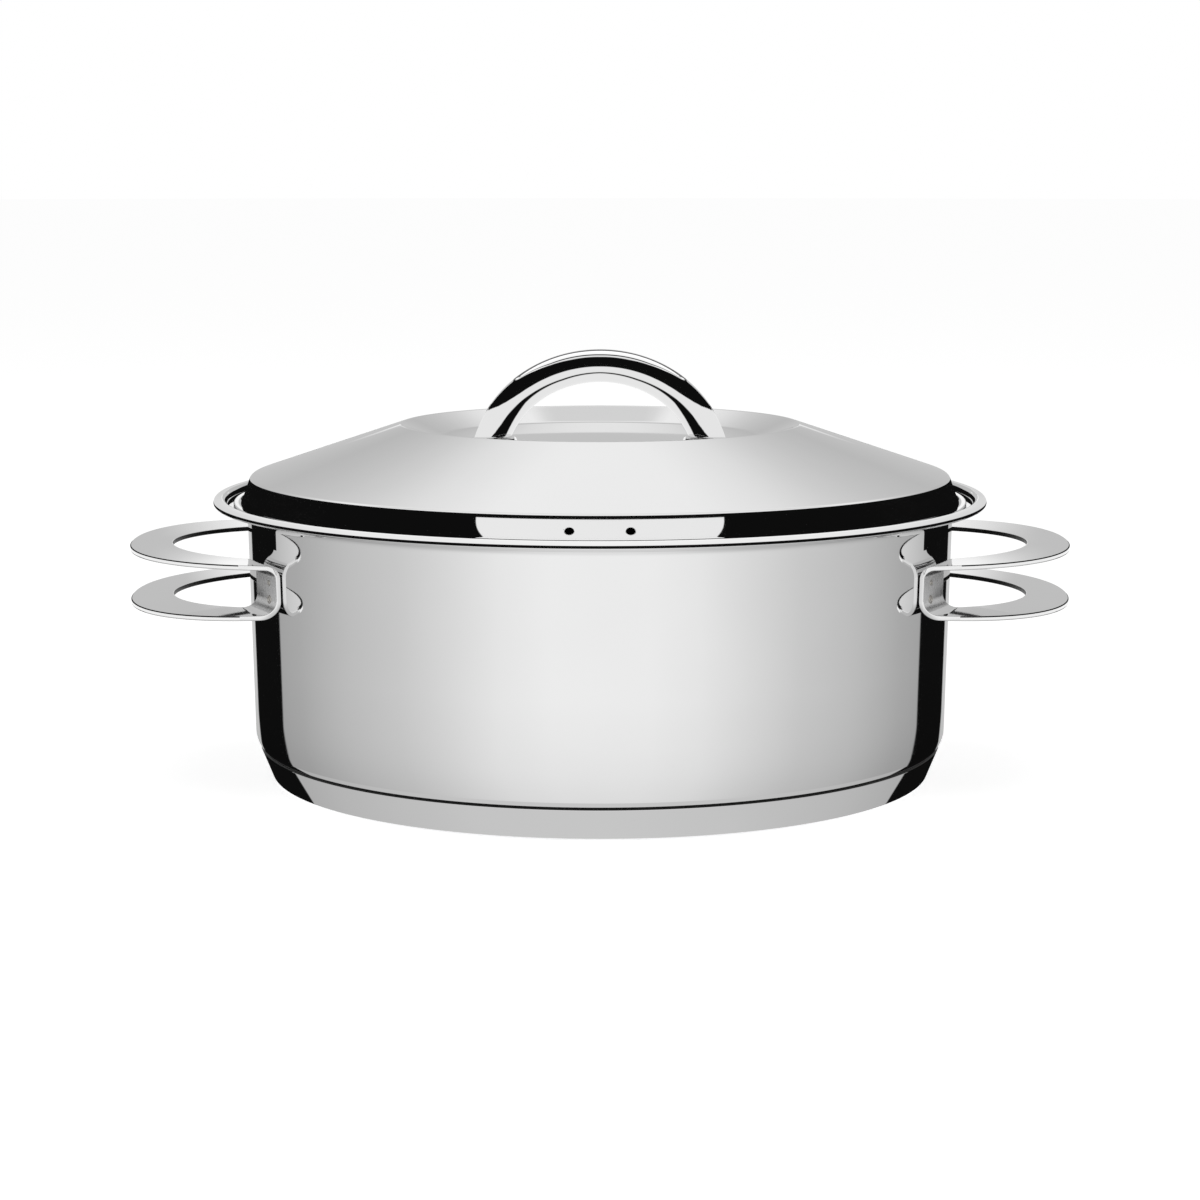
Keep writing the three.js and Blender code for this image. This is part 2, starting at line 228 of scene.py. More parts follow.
def grainedMetal(name, s):
    # bare metal with one grain, which is stretched along Z where the work drew it out that way
    finish, metal = newFinish(name)
    where = addNode(finish, "ShaderNodeTexCoord", {}, {}).outputs["Object"]
    drawn = addNode(finish, "ShaderNodeMapping", {}, {"Vector": where, "Scale": s["stretch"]})
    grain = addNode(finish, "ShaderNodeTexNoise", {}, {
        "Vector": drawn.outputs["Vector"], "Scale": 1 / (s["grainSize"] * mm), "Detail": s["detail"]})
    return patternedMetal(finish, metal, s, grain.outputs["Fac"], grain.outputs["Fac"])


# sheet that was melted between two copper tips and froze again: duller than the buffed strap, faintly straw
# coloured, with a fine frosted grain
weldSteelSet = dict(
    bright="#B9B7B3", dull="#8E8A84", roughFrom=0.14, roughTo=0.30, patternFrom=0.3, patternTo=0.7,
    grainSize=0.5, detail=3.0, stretch=(1.0, 1.0, 1.0),  # mm
)
# a soft aluminium disc squeezed flat under a press: matt, with cloudy patches where it slid on the tool
spreaderSet = dict(
    bright="#BFC1C4", dull="#A9ABAF", roughFrom=0.38, roughTo=0.55, patternFrom=0.0, patternTo=1.0,
    grainSize=3.0, detail=4.0, stretch=(1.0, 1.0, 1.0),  # mm
)
# the edge of a punched hole, torn by the die and never buffed, with fine lines across the sheet; its
# near-black colour is painted shade, the dark of the gap or hole beside the edge
cutEdgeShadeSet = dict(
    bright="#2B2B2B", dull="#141414", roughFrom=0.35, roughTo=0.5, patternFrom=0.0, patternTo=1.0,
    grainSize=0.25, detail=2.0, stretch=(1.0, 1.0, 0.1),  # mm
)
# the strap's tab, which the buffing wheel can't reach between the bows: the mill's own satin, so it shows a
# soft grey gradient instead of a picture of the bows
satinStrapSet = dict(
    bright="#D8D8D8", dull="#C6C6C6", roughFrom=0.24, roughTo=0.36, patternFrom=0.3, patternTo=0.7,
    grainSize=0.6, detail=3.0, stretch=(1.0, 1.0, 0.15),  # mm
)

mirrorSteel = mirrorPolishedSteel()
satinSteel = spunSatinSteel()
weldSteel = grainedMetal("spotWeldedStainless", weldSteelSet)
# a finish whose near-black is painted shade
cutEdgeShade = grainedMetal("shearedStainlessPaintedShade", cutEdgeShadeSet)
satinStrap = grainedMetal("satinStrapStainless", satinStrapSet)
aluminium = grainedMetal("pressedAluminium", spreaderSet)
print("finishes: 6")


# Pot shell

potSet = dict(
    sheet=0.8, wallLean=1.26, floorCorner=8.0, flare=3.4,  # the lean in degrees, rounds in mm
    ledgeWidth=8.0, beadWidth=4.2, beadRise=2.6, beadHeight=2.7, beadInnerRound=1.0, beadOuterRound=1.15,
    beadFootRound=0.75, beadCurl=1.4, segments=256,
)


def potShell():
    # one sheet from the middle of the floor out: round corner, leaning wall, flared ledge and rolled bead
    s = potSet
    low, high = corners("pot_shell")
    half = s["sheet"] / 2
    ledge = high[2] - s["beadRise"]
    beadFar = high[0] - half
    beadNear = high[0] - s["beadWidth"] + half
    mouth = high[0] - s["beadWidth"] - s["ledgeWidth"]
    curl = high[2] - s["beadHeight"] + half
    wallTan = math.tan(math.radians(s["wallLean"]))
    floor = low[2] + half
    section, outside = sheetSection([
        (0, floor),
        (mouth + half - (ledge - floor) * wallTan, floor, s["floorCorner"] - half),
        (mouth + half - half * wallTan, ledge - half, s["flare"]),
        (beadNear, ledge - half, s["beadInnerRound"]),
        (beadNear, high[2] - half, s["beadInnerRound"]),
        (beadFar, high[2] - half, s["beadOuterRound"]),
        (beadFar, curl, s["beadFootRound"]),
        (beadFar - s["beadCurl"], curl),
    ], s["sheet"])
    # inside the mouth the sheet is only spun, and everything that shows from outside is buffed
    row = np.arange(len(section))
    spun = (row >= outside) & (section[:, 0] < mouth) & (section[:, 1] < ledge - s["flare"])
    return gridPiece("potShell", turned(section, s["segments"]), [mirrorSteel, satinSteel],
                     pick=spun[:, None])


def wallRadius(height):
    # outside of the pot's wall, which leans in towards the floor
    s = potSet
    high = corners("pot_shell")[1]
    mouth = high[0] - s["beadWidth"] - s["ledgeWidth"] + s["sheet"]
    return mouth - (high[2] - s["beadRise"] - height) * math.tan(math.radians(s["wallLean"]))


place(potShell(), "pot", "polished_steel", "pot_shell")


# Base cap

capSet = dict(
    sheet=0.7, lean=21.8, footRound=1.6, segments=288,  # mm, degrees
    # points of the edge that carry the painted shade of the groove
    shadeBefore=5, shadeAfter=4,  # points of the section to either side of the edge's middle
)


def baseCap():
    # a shallow tray: flat underside, a round foot and a leaning side that ends just clear of the shell
    s = capSet
    high = corners("base_cap")[1]
    half = s["sheet"] / 2
    lean = math.radians(s["lean"])
    top = high[2] - half * math.cos(lean)  # middle of the sheet where its half round edge starts
    edge = high[0] - half / math.cos(lean) - (high[2] - top) * math.tan(lean)
    foot = edge - (top - half) * math.tan(lean)
    section, outside = sheetSection([
        (0, half),
        (foot, half, s["footRound"] - half),
        (edge, top),
    ], s["sheet"])
    # the underside and the hidden inside are only spun, and the edge of the sheet, left as it was sheared, is
    # painted near-black as the shade in the groove between cap and shell
    row = np.arange(len(section))
    spun = (section[:, 1] < half / 2) | (row > outside + s["shadeAfter"])
    shadedLip = (row > outside - s["shadeBefore"]) & (row < outside + s["shadeAfter"])
    pick = np.where(shadedLip, 2, spun)
    return gridPiece("baseCap", turned(section, s["segments"]), [mirrorSteel, satinSteel, cutEdgeShade],
                     pick=pick[:, None])


place(baseCap(), "pot", "polished_steel", "base_cap")

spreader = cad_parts["heat_spreader"]
spreader.data.materials.clear()
spreader.data.materials.append(aluminium)


# Side handles

handleSet = dict(
    strap=1.6, height=17.8, wallGap=0.3,  # the height is over both bows at the wall
    bowDepth=48.0, holeDepth=43.0, strapWidth=14.0, tabWidth=16.3,
    splay=1.5, upperBend=4.4, lowerBend=6.4, bendEnd=3.0,  # degrees, outside rounds, degrees that are left
    squareness=2.2, holeSquareness=2.0,  # exponents of the outlines, 2 is an ellipse
    spare=5.0, satinInset=1.5,  # past the tip, and from the bows to the tab's satin
    arris=0.3, bendSteps=18, bowSteps=44, faceSteps=16, arrisSteps=4,
)


def bowEdge(tip, depth, halfWidth, squareness, count=4000):
    # half of a bow's outline in plan, from beside the wall to the tip: straight, then a superellipse
    angle = np.linspace(math.pi / 2, 0, count)
    x = tip - depth + depth * np.cos(angle).clip(0) ** (2 / squareness)
    y = halfWidth * np.sin(angle).clip(0) ** (2 / squareness)
    straight = np.linspace(tip - 2 * depth, tip - depth, count)[:-1]
    return np.hypot(np.r_[straight, x], np.r_[0 * straight + halfWidth, y]), np.arctan2(
        np.r_[0 * straight + halfWidth, y], np.r_[straight, x])


def edgeTrack(radius, azimuth, rowRadius, rowTravel, bent, bowShare):
    # one edge of the strap as travel along the strap's section and azimuth: row by row over tab and bend,
    # then by equal shares of the edge's length out to the tip
    tabAzimuth = np.interp(rowRadius[bent], radius, azimuth)
    past = radius > rowRadius[bent][-1]
    travel = np.interp(radius[past], rowRadius, rowTravel)
    step = np.hypot(np.diff(radius[past]), np.diff(azimuth[past]) * radius[past][1:])
    length = np.r_[0, np.cumsum(step)]
    at = bowShare * length[-1]
    return (np.r_[rowTravel[bent], np.interp(at, length, travel)],
            np.r_[tabAzimuth, np.interp(at, length, azimuth[past])])


def strapRows(s, tabRadius, wallTan, tip, midHeight, up):
    # the strap's middle line from the middle of the tab up into the upper bow, or down into the lower one
    rise = s["height"] / 2 - s["strap"] / 2
    bend = (s["upperBend"] if up > 0 else s["lowerBend"]) - s["strap"] / 2
    far = tip + s["spare"]
    line, way = bentLine([
        (tabRadius, midHeight),
        (tabRadius + up * rise * wallTan, midHeight + up * rise, bend),
        (far, midHeight + up * (rise + (far - tabRadius) * math.tan(math.radians(s["splay"])))),
    ], arcStep=90 / s["bendSteps"], endStep=0.06)
    travel = np.r_[0, np.cumsum(np.linalg.norm(np.diff(line, axis=0), axis=1))]
    return line, way, travel


def handleGrid(node):
    # the strap is a closed loop of stations, out along the upper bow, back to the far tab and home by the
    # lower bow; each station runs across the strap, whose section, a rectangle with rounded arrises, is laid
    # along the bent sheet and its normal: place = sheet(travel, azimuth) + normal * lift
    s = handleSet
    low, high = corners(node)
    side = 1 if low[0] > 0 else -1
    tip = max(abs(low[0]), abs(high[0]))
    halfWidth = (high[1] - low[1]) / 2
    midHeight = (low[2] + high[2]) / 2
    half = s["strap"] / 2
    wallTan = math.tan(math.radians(potSet["wallLean"]))
    tabRadius = wallRadius(midHeight) + s["wallGap"] + half
    edges = [bowEdge(tip, s["bowDepth"], halfWidth, s["squareness"]),
             bowEdge(tip - s["strapWidth"], s["holeDepth"], halfWidth - s["tabWidth"], s["holeSquareness"])]
    bowShare = (1 - np.cos(math.pi * np.arange(1, s["bowSteps"] + 1) / s["bowSteps"])) / 2
    rows, tracks = [], []
    for up in (1, -1):
        line, way, travel = strapRows(s, tabRadius, wallTan, tip, midHeight, up)
        rows.append((line, way, travel))
        bent = np.arange(len(line)) < np.argmax(np.abs(np.sin(way)) < math.sin(math.radians(s["bendEnd"])))
        # a radius that always grows, so that it can be looked up
        climb = np.maximum.accumulate(line[:, 0]) + 1e-7 * np.arange(len(line))
        tracks.append([edgeTrack(*edge, climb, travel, bent, bowShare) for edge in edges])
    line = np.concatenate([rows[1][0][:0:-1], rows[0][0]])
    way = np.concatenate([rows[1][1][:0:-1] + math.pi, rows[0][1]])
    travel = np.concatenate([-rows[1][2][:0:-1], rows[0][2]])
    stationTravel, stationTurn = [], []
    for edge in (0, 1):
        (upTravel, upTurn), (downTravel, downTurn) = tracks[0][edge], tracks[1][edge]
        stationTravel.append(np.r_[upTravel[:-1], upTravel[:0:-1], -downTravel[:-1], -downTravel[:0:-1]])
        stationTurn.append(np.r_[-upTurn[:-1], upTurn[:0:-1], downTurn[:-1], -downTurn[:0:-1]])
    outerTravel, holeTravel = np.array(stationTravel)[:, :, None]
    outerTurn, holeTurn = np.array(stationTurn)[:, :, None]
    width = np.hypot(holeTravel - outerTravel, tabRadius * (holeTurn - outerTurn))
    r = s["arris"]
    arc = np.linspace(0, math.pi / 2, s["arrisSteps"] + 1)
    face = (1 - np.cos(math.pi * np.arange(1, s["faceSteps"]) / s["faceSteps"])) / 2
    near = r - r * np.cos(arc)
    share = np.concatenate([near + 0 * width, r + (width - 2 * r) * face, width - near[::-1]], 1) / width
    lift = np.r_[half - r + r * np.sin(arc), half + 0 * face, half - r + r * np.sin(arc[::-1])]
    # the hole's cut edge, half way round the section, is sheared and painted near-black as shade, and the
    # tab's outer face is only satin
    strip = np.arange(2 * len(lift))
    cut = np.abs(strip - len(lift) + 1) < s["arrisSteps"] - 1
    onTab = np.abs(outerTravel) < s["height"] / 2 - s["satinInset"]
    onFace = (strip >= s["arrisSteps"]) & (strip < len(lift) - 1 - s["arrisSteps"])
    pick = np.where(onTab & onFace, 2, np.where(cut, 1, 0))
    share = np.concatenate([share, share[:, ::-1]], 1)
    lift = np.r_[lift, -lift[::-1]]
    here = outerTravel * (1 - share) + holeTravel * share
    turn = outerTurn * (1 - share) + holeTurn * share
    heading = np.interp(here, travel, way)
    radius = np.interp(here, travel, line[:, 0]) + np.sin(heading) * lift
    height = np.interp(here, travel, line[:, 1]) - np.cos(heading) * lift
    grid = np.stack([side * radius * np.cos(turn), side * radius * np.sin(turn), height], -1)
    return grid, pick


def sideHandle(name, node):
    grid, pick = handleGrid(node)
    return gridPiece(name, grid, [mirrorSteel, cutEdgeShade, satinStrap], wrapRows=True, pick=pick)


place(sideHandle("rightHandle", "right_handle"), "pot", "polished_steel", "right_handle")
place(sideHandle("leftHandle", "left_handle"), "pot", "polished_steel", "left_handle")


# Spot welds

tabWeldSet = dict(
    upperMark=0.95, lowerMark=1.5, ring=0.36, proud=0.34, hollow=0.04, sink=0.15, segments=40,
    slugDepth=0.85, dimple=0.3,  # shares of the strap's thickness and of the mark
)


def tabWeld(name, node):
    # a turned slug whose axis points out of the wall: hidden in the strap, and outside it a low ring of
    # squeezed-up metal round the dimple that the electrode left
    s = tabWeldSet
    low, high = corners(node)
    mid = (low + high) / 2
    azimuth = math.atan2(mid[1], mid[0])
    out = np.array([math.cos(azimuth), math.sin(azimuth), 0])
    across = np.array([-out[1], out[0], 0])
    upward = np.array([0, 0, 1.0])
    slug = (high[2] - low[2]) / 2
    mark = s["upperMark"] if "upper" in node else s["lowerMark"]
    face = wallRadius(mid[2]) + handleSet["wallGap"] + handleSet["strap"]
    swing = np.linspace(0, math.pi, 9)
    crown = np.stack([mark - s["ring"] + s["ring"] * np.cos(swing), s["proud"] * np.sin(swing)], 1)
    # the ring's inner half comes down no lower than the dimple
    crown[5:, 1] = np.maximum(crown[5:, 1], s["hollow"])
    depth = handleSet["strap"] * s["slugDepth"]
    section = np.concatenate([
        [(0, -depth), (slug, -depth), (slug, -s["sink"]), (mark, -s["sink"])],
        crown,
        [(mark * s["dimple"], s["hollow"]), (0, s["hollow"])]])
    disc = turned(section, s["segments"])
    # the disc's own axis points out, its X runs round the wall and its Y up
    grid = out * (face + disc[..., 2:]) + across * disc[..., :1] + upward * (mid[2] + disc[..., 1:2])
    return gridPiece(name, grid, [weldSteel])


for node in sorted(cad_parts):
    if "handle" in node and node.endswith("er_weld"):
        place(tabWeld(node.replace("_", "."), node), "pot", "weld_steel", node)


# Lid

lidSet = dict(
    sheet=0.7, flange=3.0, flangeRound=2.0, skirtHeight=8.4, skirtLean=20.0, creaseRound=1.3,
    coneSlope=18.7, lipRadius=68.0, lipRound=1.6, dishDepth=5.1, dishWall=11.5, dishRound=4.0,
    vent=1.4, ventFlare=0.35, ventOval=0.77, ventSpacing=18.7, ventRise=0.45, segments=288,
    punchIn=4.0, punchOut=3.0, punchSegments=48, sharpFrom=35.0,  # mm, and degrees between faces
)


def lidShell():
    # one sheet from the middle of the dish out: dish floor and wall, lip, cone, crease, skirt and flange
    s = lidSet
    low, high = corners("lid_shell")
    half = s["sheet"] / 2
    flange = low[2] + half
    root = high[0] - s["flange"]
    crease = np.array([root - s["skirtHeight"] * math.tan(math.radians(s["skirtLean"])),
                       flange + s["skirtHeight"]])
    lip = crease[1] + (crease[0] - s["lipRadius"]) * math.tan(math.radians(s["coneSlope"]))
    section, underside = sheetSection([
        (0, lip - s["dishDepth"]),
        (s["lipRadius"] - s["dishWall"], lip - s["dishDepth"], s["dishRound"]),
        (s["lipRadius"], lip, s["lipRound"]),
        (*crease, s["creaseRound"]),
        (root, flange, s["flangeRound"]),
        (high[0] - half, flange),
    ], s["sheet"])
    spun = np.arange(len(section)) < underside
    piece = gridPiece("lidShell", turned(section, s["segments"]), [mirrorSteel, satinSteel],
                      pick=spun[:, None])
    # the two steam vents: pierced square to the skirt, their outer edge drawn in a little by the punch
    spot = crease + (np.array([root, flange]) - crease) * (1 - s["ventRise"])
    lean = math.radians(s["skirtLean"])
    swing = np.linspace(0, math.pi / 2, 7)
    flare = s["vent"] + s["ventFlare"] * (1 - np.cos(swing))
    section = np.concatenate([
        [(0, -s["punchIn"]), (s["vent"], -s["punchIn"])],
        np.stack([flare, half - s["ventFlare"] + s["ventFlare"] * np.sin(swing)], 1),
        [(s["vent"] + s["ventFlare"], s["punchOut"]), (0, s["punchOut"])]])
    plug = turned(section, s["punchSegments"])
    for x in (-s["ventSpacing"] / 2, s["ventSpacing"] / 2):
        azimuth = -math.acos(x / spot[0])
        out = np.array([math.cos(azimuth), math.sin(azimuth), 0])
        normal = out * math.cos(lean) + np.array([0, 0, math.sin(lean)])
        upward = np.array([0, 0, math.cos(lean)]) - out * math.sin(lean)
        across = np.cross(upward, normal)
        upward = upward * s["ventOval"]
        middle = out * spot[0] + np.array([0, 0, spot[1]])
        grid = middle + across * plug[..., :1] + upward * plug[..., 1:2] + normal * plug[..., 2:]
        cutter = gridPiece("ventPunch", grid, [mirrorSteel])
        pierce = piece.modifiers.new("vent", "BOOLEAN")
        pierce.operation = "DIFFERENCE"
        pierce.solver = "EXACT"
        pierce.object = cutter
        pierced = piece.evaluated_get(bpy.context.evaluated_depsgraph_get())
        applied = bpy.data.meshes.new_from_object(pierced)
        piece.modifiers.remove(pierce)
        piece.data = applied
        bpy.data.objects.remove(cutter)
    piece.data.set_sharp_from_angle(angle=math.radians(s["sharpFrom"]))
    return piece


place(lidShell(), "lid", "polished_steel", "lid_shell")


# Lid handle

gripSet = dict(
    rise=29.6, footThickness=12.0, gripThickness=10.4,
    arris=1.3, faceRound=8.2, faceFrom=21.0, faceTo=-16.0,  # rounds in mm, and the face's slope in degrees
    steps=140, footRings=(0.0, 0.45, 0.9, 0.97),  # shares of the foot's outline
)


def gripCurves(steps):
    # the outer and inner half ellipse of the arch, each followed from foot to foot
    s = gripSet
    low, high = corners("lid_handle")
    centre = high[2] - s["rise"] - s["gripThickness"]
    outerRise = high[2] - centre
    outerSpan = high[0] / math.sqrt(1 - ((low[2] - centre) / outerRise) ** 2)
    swing = np.linspace(0, 1, steps + 1)[:, None]
    curves = []
    for inset, drop in ((0, 0), (s["footThickness"], s["gripThickness"])):
        rise = outerRise - drop
        foot = math.asin((low[2] - centre) / rise)
        angle = foot + (math.pi - 2 * foot) * swing
        curves.append(np.concatenate([(outerSpan - inset) * np.cos(angle), centre + rise * np.sin(angle)], 1))
    return curves


def gripFace(thickness, halfDepth, slope):
    # front half of the bar's section where it slopes so much, as distance out and height over the inner
    # curve: a tight arris to the top, a flat-curved face, and one round that ends in the underside
    s = gripSet
    arris, faceRound = s["arris"], s["faceRound"]
    upper, lower = math.radians(s["faceFrom"]), math.radians(s["faceTo"])
    rest = thickness - arris * (1 - math.sin(upper)) - faceRound * (math.sin(upper) - math.sin(lower))
    under = rest / (1 + math.sin(lower))
    top = slope > upper
    bottom = slope < lower
    radius = np.where(top, arris, np.where(bottom, under, faceRound))
    # the middle of each round lies on the line through the face's middle and the point where they meet
    step = np.where(top, faceRound - arris, np.where(bottom, faceRound - under, 0))
    meet = np.where(top, upper, lower)
    middleOut = halfDepth - faceRound + step * np.cos(meet)
    middleUp = rest - faceRound * math.sin(lower) + step * np.sin(meet)
    return middleOut + radius * np.cos(slope), middleUp + radius * np.sin(slope)


def lidHandle():
    # the bar between the two curves; the section's height runs from the inner to the outer curve
    s = gripSet
    low, high = corners("lid_handle")
    outer, inner = gripCurves(s["steps"])
    thickness = np.linalg.norm(outer - inner, axis=1)[:, None]
    lower, upper = s["faceTo"], s["faceFrom"]
    slope = np.radians(np.r_[
        np.linspace(-90, lower, 22), np.linspace(lower + 2, upper - 1, 18), np.linspace(upper, 90, 14)])
    out, up = gripFace(thickness, (high[1] - low[1]) / 2, slope)
    depth = np.concatenate([-out, out[:, ::-1]], 1)
    height = (np.concatenate([up, up[:, ::-1]], 1) / thickness)[..., None]
    spot = inner[:, None] * (1 - height) + outer[:, None] * height
    body = np.stack([spot[..., 0], depth, spot[..., 1]], -1)
    # each foot closes with rings drawn in to its middle
    ends = []
    for station in (0, -1):
        middle = body[station].mean(0)
        ends.append([middle + (body[station] - middle) * scale for scale in s["footRings"]])
    grid = np.concatenate([ends[0], body, ends[1][::-1]])
    return gridPiece("lidHandle", grid, [mirrorSteel])


place(lidHandle(), "lid", "polished_steel", "lid_handle")


# Foot welds

footWeldSet = dict(proud=0.35, edge=0.5, bevel=0.2, flat=0.5, segments=48)  # mm, the flat as a share


def footWeld(name, node):
    # a low button under the dish: a turned slug whose lower edge is rounded by a quarter circle
    s = footWeldSet
    low, high = corners(node)
    radius = (high[0] - low[0]) / 2
    swing = np.linspace(0, math.pi / 2, 7)
    bottom = low[2] - s["proud"]
    quarterOut = radius - s["edge"] + s["edge"] * np.sin(swing)
    quarterUp = bottom + s["edge"] * (1 - np.cos(swing))
    section = np.concatenate([
        [(0, bottom), (radius * s["flat"], bottom)],
        np.stack([quarterOut, quarterUp], 1),
        [(radius, high[2] - s["bevel"]), (radius - s["bevel"], high[2]), (0, high[2])]])
    grid = turned(section, s["segments"]) + np.array([(low[0] + high[0]) / 2, (low[1] + high[1]) / 2, 0])
    return gridPiece(name, grid, [weldSteel])


place(footWeld("leftFootWeld", "lid_handle_left_weld"), "lid", "weld_steel", "lid_handle_left_weld")
place(footWeld("rightFootWeld", "lid_handle_right_weld"), "lid", "weld_steel", "lid_handle_right_weld")


# Studio

cameraSet = dict(place=(0, -1.0198, 0.21366), pitch=8.63, lens=89.29, sensor=36.0)  # metres, degrees, mm
studioSet = dict(
    floor="#FFFFFF", floorGlow=0.667, floorReach=12000.0, floorDrop=0.02, roomLight=0.34,  # mm
    paperFrom=0.90, paperTo=0.94, paperRough=0.9, fibreScale=900.0,  # per metre, fibres of about 1 mm
    topLight=4.0, topSize=1.4, topPlace=(0, -0.1, 1.5),  # watts and metres
)


def floorAndRoom():
    # a white room that looks brighter than it lights, a floor of pale paper and a soft lamp above
    s = studioSet
    world = bpy.data.worlds.new("room")
    bpy.context.scene.world = world
    world.use_nodes = True
    back = world.node_tree.nodes["Background"]
    back.inputs["Color"].default_value = (1, 1, 1, 1)
    seen = addNode(world, "ShaderNodeLightPath", {}, {})
    direct = addNode(world, "ShaderNodeMath", {"operation": "MAXIMUM"}, {
        0: seen.outputs["Is Camera Ray"], 1: seen.outputs["Is Glossy Ray"]})
    direct = addNode(world, "ShaderNodeMath", {"operation": "MAXIMUM"}, {
        0: direct.outputs["Value"], 1: seen.outputs["Is Transmission Ray"]})
    strength = addNode(world, "ShaderNodeMapRange", {}, {
        "Value": direct.outputs["Value"], "To Min": s["roomLight"], "To Max": 1.0})
    world.node_tree.links.new(strength.outputs["Result"], back.inputs["Strength"])

    finish, paper = newFinish("seamlessPaper")
    where = addNode(finish, "ShaderNodeTexCoord", {}, {}).outputs["Object"]
    fibre = addNode(finish, "ShaderNodeTexNoise", {}, {
        "Vector": where, "Scale": s["fibreScale"], "Detail": 2.0})
    tone = addNode(finish, "ShaderNodeMapRange", {}, {
        "Value": fibre.outputs["Fac"], "To Min": s["paperFrom"], "To Max": s["paperTo"]})
    finish.node_tree.links.new(tone.outputs["Result"], paper.inputs["Base Color"])
    paper.inputs["Roughness"].default_value = s["paperRough"]
    paper.inputs["Specular IOR Level"].default_value = 0.0
    paper.inputs["Emission Color"].default_value = linear(s["floor"])
    paper.inputs["Emission Strength"].default_value = s["floorGlow"]
    angle = 2 * math.pi * np.arange(96) / 96
    ring = np.r_[0, np.geomspace(60, s["floorReach"], 24)][::-1, None]
    grid = np.stack([ring * np.cos(angle), ring * np.sin(angle), 0 * ring + 0 * angle - s["floorDrop"]], -1)
    floor = gridPiece("floor", grid, [finish])

    lamp = bpy.data.lights.new("softbox", "AREA")
    lamp.shape = "DISK"
    lamp.size = s["topSize"]
    lamp.energy = s["topLight"]
    hung = bpy.data.objects.new("softbox", lamp)
    hung.location = s["topPlace"]
    bpy.context.scene.collection.objects.link(hung)
    hung.visible_glossy = False
    print("studio: room, floor and softbox")


floorAndRoom()


# Cards that paint the reflections

cardSet = dict(black=0.005, white=1.0)


def glowCard(name, grid, tones, wrapColumns=False):
    # a card that only reflections see; its brightness is a value at each of its points
    finish = newFinish(name + "Glow")[0]
    tone = addNode(finish, "ShaderNodeAttribute", {"attribute_name": "tone"}, {})
    glow = addNode(finish, "ShaderNodeEmission", {}, {"Strength": tone.outputs["Fac"]})
    surface = finish.node_tree.nodes["Material Output"].inputs["Surface"]
    finish.node_tree.links.new(glow.outputs["Emission"], surface)
    card = gridPiece(name, grid, [finish], wrapColumns=wrapColumns)
    values = card.data.attributes.new("tone", "FLOAT", "POINT")
    values.data.foreach_set("value", np.asarray(tones, np.float32).ravel())
    for ray in ("camera", "diffuse", "transmission", "volume_scatter", "shadow"):
        setattr(card, "visible_" + ray, False)


def mirroredRay(points, normals):
    # where the polished surface sends the ray that comes from the camera
    ray = points - np.array(cameraSet["place"]) / mm
    ray = ray / np.linalg.norm(ray, axis=-1, keepdims=True)
    return ray - 2 * (ray * normals).sum(-1, keepdims=True) * normals


def around(radius, height, turn):
    # points round the pot's axis, with the angle counted from the front
    return np.stack(np.broadcast_arrays(radius * np.sin(turn), -radius * np.cos(turn), height), -1)


def paintedFloorCard(name, points, normals, tones, lift, fade=0.0):
    # painted reflection: a glowing card on the floor, seen only by reflections, where a surface mirrors it;
    # over the fade's length its ends turn to the floor's white
    ray = mirroredRay(points, normals)
    spots = points + ray * (points[..., 2:] / -ray[..., 2:])
    tones = np.broadcast_to(tones, spots.shape[:2])
    if fade:
        step = np.linspace(0, 1, 6)[1:]
        first = spots[:, :1] - spots[:, 1:2]
        first = first / np.linalg.norm(first, axis=-1, keepdims=True)
        last = spots[:, -1:] - spots[:, -2:-1]
        last = last / np.linalg.norm(last, axis=-1, keepdims=True)
        before = spots[:, :1] + first * (fade * step[::-1, None])
        after = spots[:, -1:] + last * (fade * step[:, None])
        spots = np.concatenate([before, spots, after], 1)
        before = tones[:, :1] + (cardSet["white"] - tones[:, :1]) * step[::-1]
        after = tones[:, -1:] + (cardSet["white"] - tones[:, -1:]) * step
        tones = np.concatenate([before, tones, after], 1)
    spots[..., 2] = lift
    glowCard(name, spots, tones)


def nearCard(name, points, normals, reach, tones, rear=False):
    # a glowing strip that hangs close before a surface, where the surface mirrors it, and so paints its
    # reflection; with rear it goes on round the back as its own mirror image, with the tones of its end
    spots = points + reach * mirroredRay(points, normals)
    tones = np.broadcast_to(tones, spots.shape[:2])
    if rear:
        spots = np.concatenate([spots, spots[:, ::-1] * np.array([1, -1, 1])], 1)
        tones = np.concatenate([tones, np.broadcast_to(tones[:, -1:], tones.shape)], 1)
    glowCard(name, spots, tones, wrapColumns=rear)


backSet = dict(
    radius=8000.0, floorFrom=700.0, floorFade=150.0, floorLift=0.03, halfTurn=46.0, fadeTurn=30.0, top=61.9,
    # brightness by degrees of rise over the pot's foot
    rise=(0, 9.9, 17.0, 23.0, 28.0, 32.6, 35.8, 38.1, 40.2, 43.2, 48.3, 50.4, 56.7, 59.9, 61.9),
    tone=(0.585, 0.575, 0.555, 0.60, 0.655, 0.735, 0.82, 0.89, 0.94, 1.02, 1.02, 0.78, 0.80, 1.0, 1.0),
    # a bright spot for each bow, by rise and by turn to either side
    spotTone=1.05, upperRise=(8.4, 8.66, 9.41, 10.24), upperTurn=(4.74, 5.85, 6.97, 9.2),
    lowerRise=(5.71, 6.32, 7.6, 8.12), lowerTurn=(5.71, 6.83, 7.81, 9.4),
    fineRise=(5.0, 10.5), fineTurn=(4.0, 11.0),  # where the grid is fine enough for the spots
)


